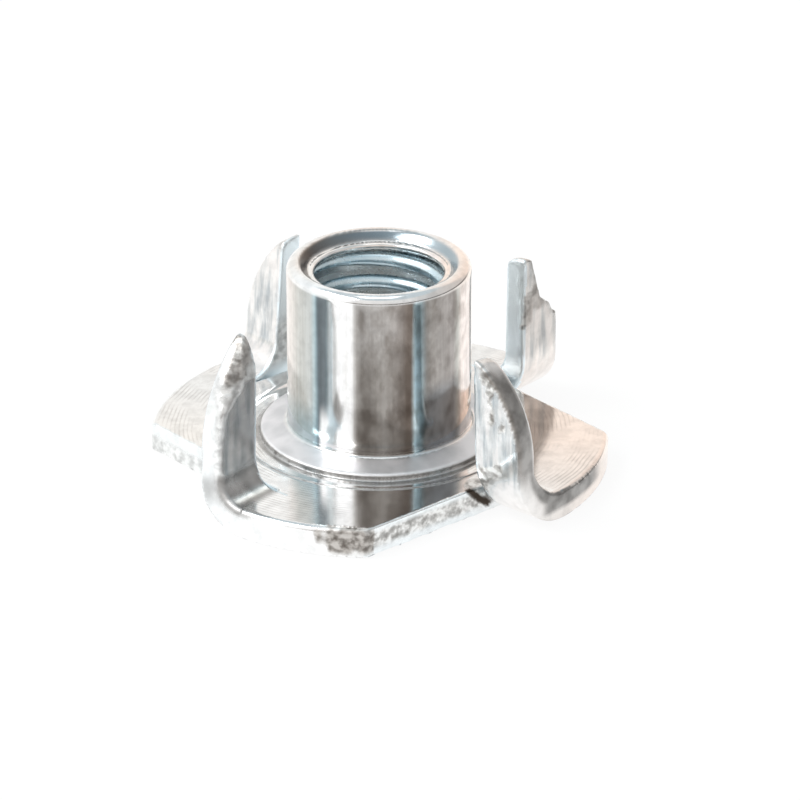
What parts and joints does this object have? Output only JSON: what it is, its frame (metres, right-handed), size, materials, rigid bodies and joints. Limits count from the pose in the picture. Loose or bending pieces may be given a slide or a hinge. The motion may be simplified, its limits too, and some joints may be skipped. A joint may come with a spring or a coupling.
{
  "type": "tee nut",
  "caption": "One-piece steel tee nut: round flange with sheared, folded-up claws round its rim and a threaded drawn barrel, for a machine screw fastened into wood",
  "frame": {"origin": "on the barrel's axis, at the underside of the flange", "axes": "+Z runs along the barrel from the flange to its lip; +X points at the claw with the torn tip; the claws follow at a quarter turn each"},
  "size_m": [0.019, 0.019, 0.0088],
  "materials": {
    "zinc_plated_steel": "bright zinc plate over mild steel"
  },
  "bodies": {
    "root": {"tee_nut": "zinc_plated_steel"}
  },
  "joints": []
}
